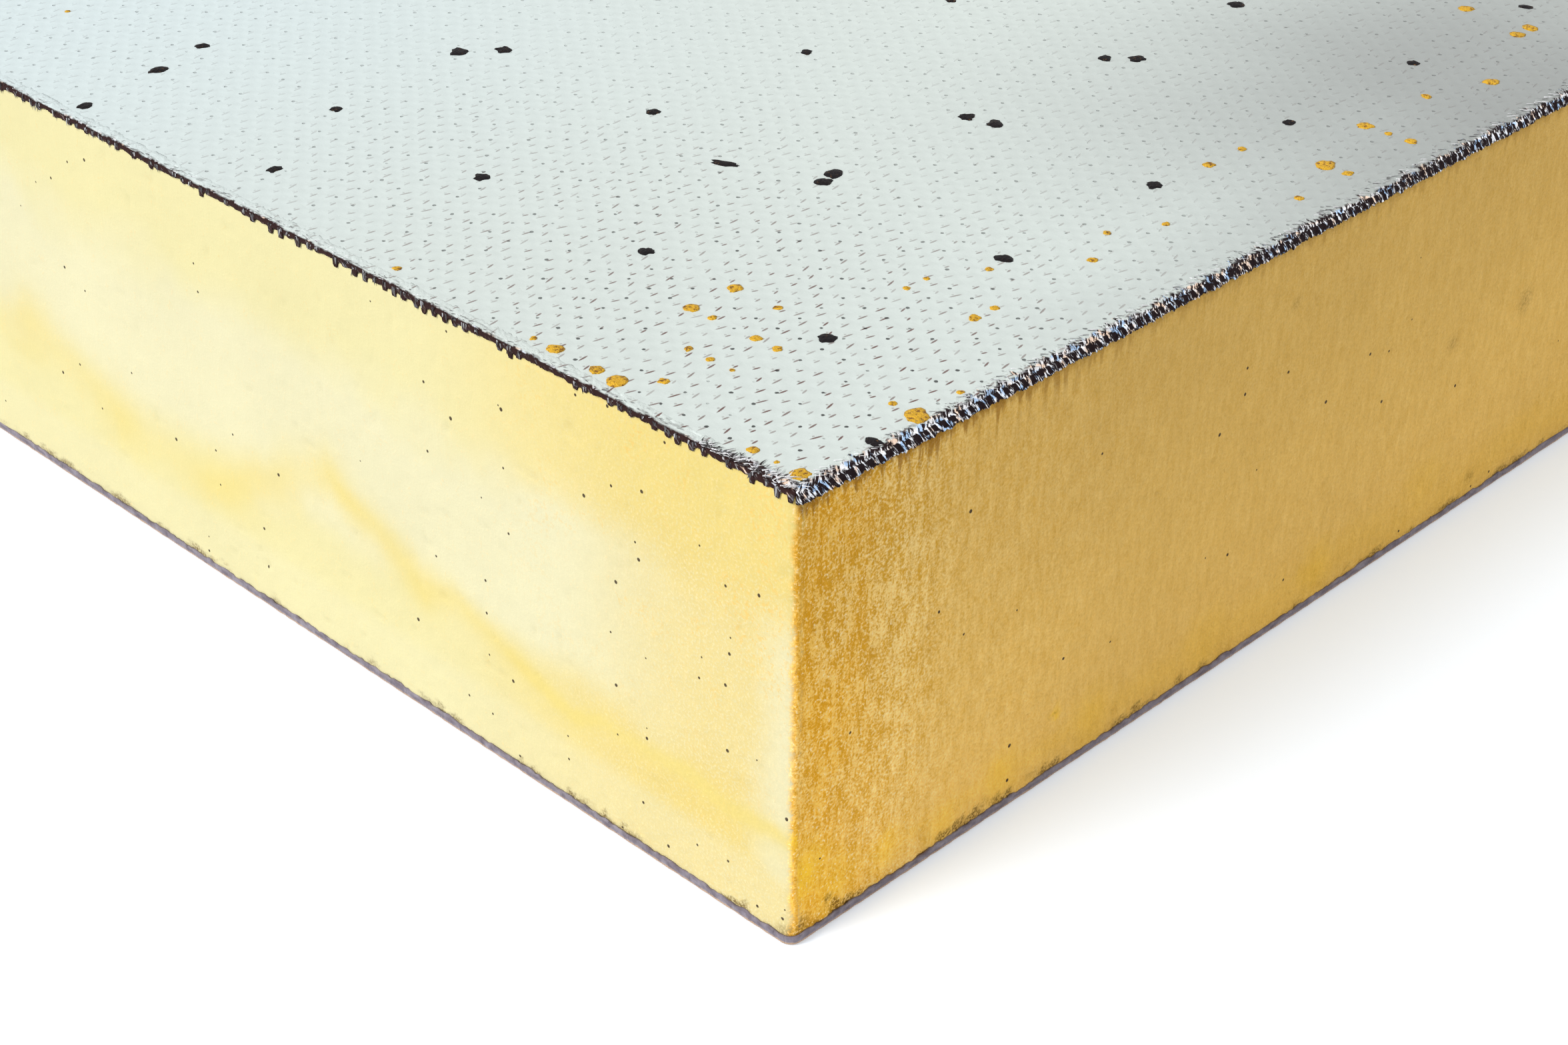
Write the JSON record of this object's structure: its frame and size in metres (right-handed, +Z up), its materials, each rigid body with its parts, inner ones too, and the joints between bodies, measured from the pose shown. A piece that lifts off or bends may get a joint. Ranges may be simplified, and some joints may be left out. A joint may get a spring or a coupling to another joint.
{
  "type": "polyiso insulation board",
  "caption": "Flat rectangular rigid foam insulation board with a coated foil and glass facer on each face, square sawn edges and one knocked lower corner.",
  "frame": {"origin": "centre of the board's footprint, on the face it rests on", "axes": "+X along the board's length, +Y across its width, +Z up through its thickness"},
  "size_m": [1.2, 0.6, 0.05],
  "materials": {
    "foam": "sawn fine-celled rigid foam",
    "top_facer": "matt mineral coating over foil and woven glass",
    "bottom_facer": "foil and woven glass, bare at the sawn edge"
  },
  "bodies": {
    "root": {"foam_core": "foam", "top_facer": "top_facer", "bottom_facer": "bottom_facer"}
  },
  "joints": []
}
